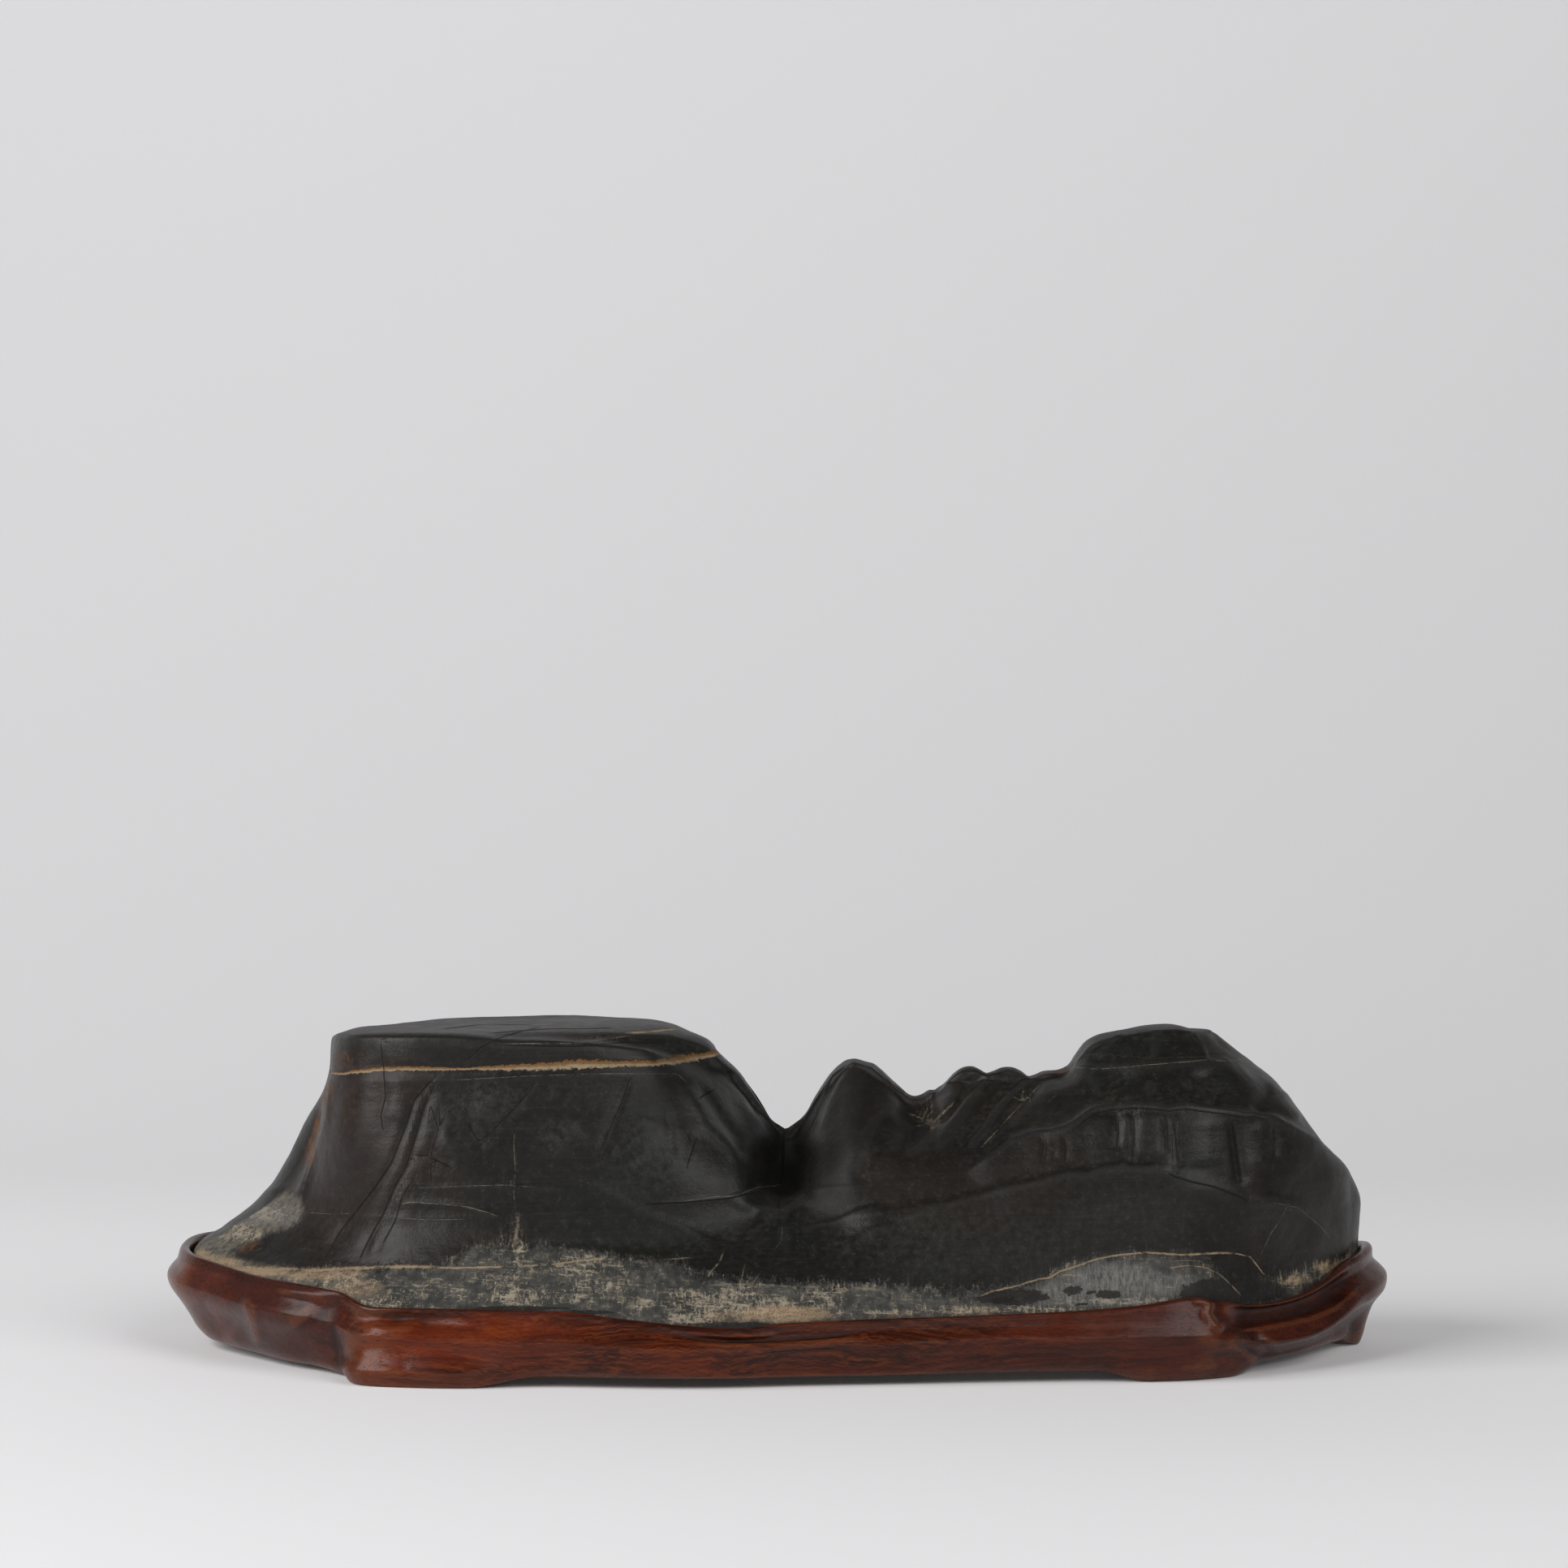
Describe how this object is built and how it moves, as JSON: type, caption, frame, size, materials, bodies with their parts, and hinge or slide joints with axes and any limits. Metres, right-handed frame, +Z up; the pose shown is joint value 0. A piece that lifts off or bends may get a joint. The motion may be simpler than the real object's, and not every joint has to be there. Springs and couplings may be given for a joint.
{
  "type": "scholars rock",
  "caption": "Dark water-worn stone with a flat-topped mass, a gorge, a small peak and a domed mass, seated in a low carved hardwood stand on short feet.",
  "frame": {"origin": "middle of the footprint's box, on the surface that the feet stand on", "axes": "+X to the domed end along the length, +Y away from the front, +Z up"},
  "size_m": [0.455, 0.187, 0.121],
  "materials": {
    "stone": "near-black water-worn stone with a satin polish, cream veins and a scratched grey foot",
    "rosewood": "red-brown hardwood with a worn satin lacquer"
  },
  "bodies": {
    "root": {"stone": "stone", "stand": "rosewood"}
  },
  "joints": []
}
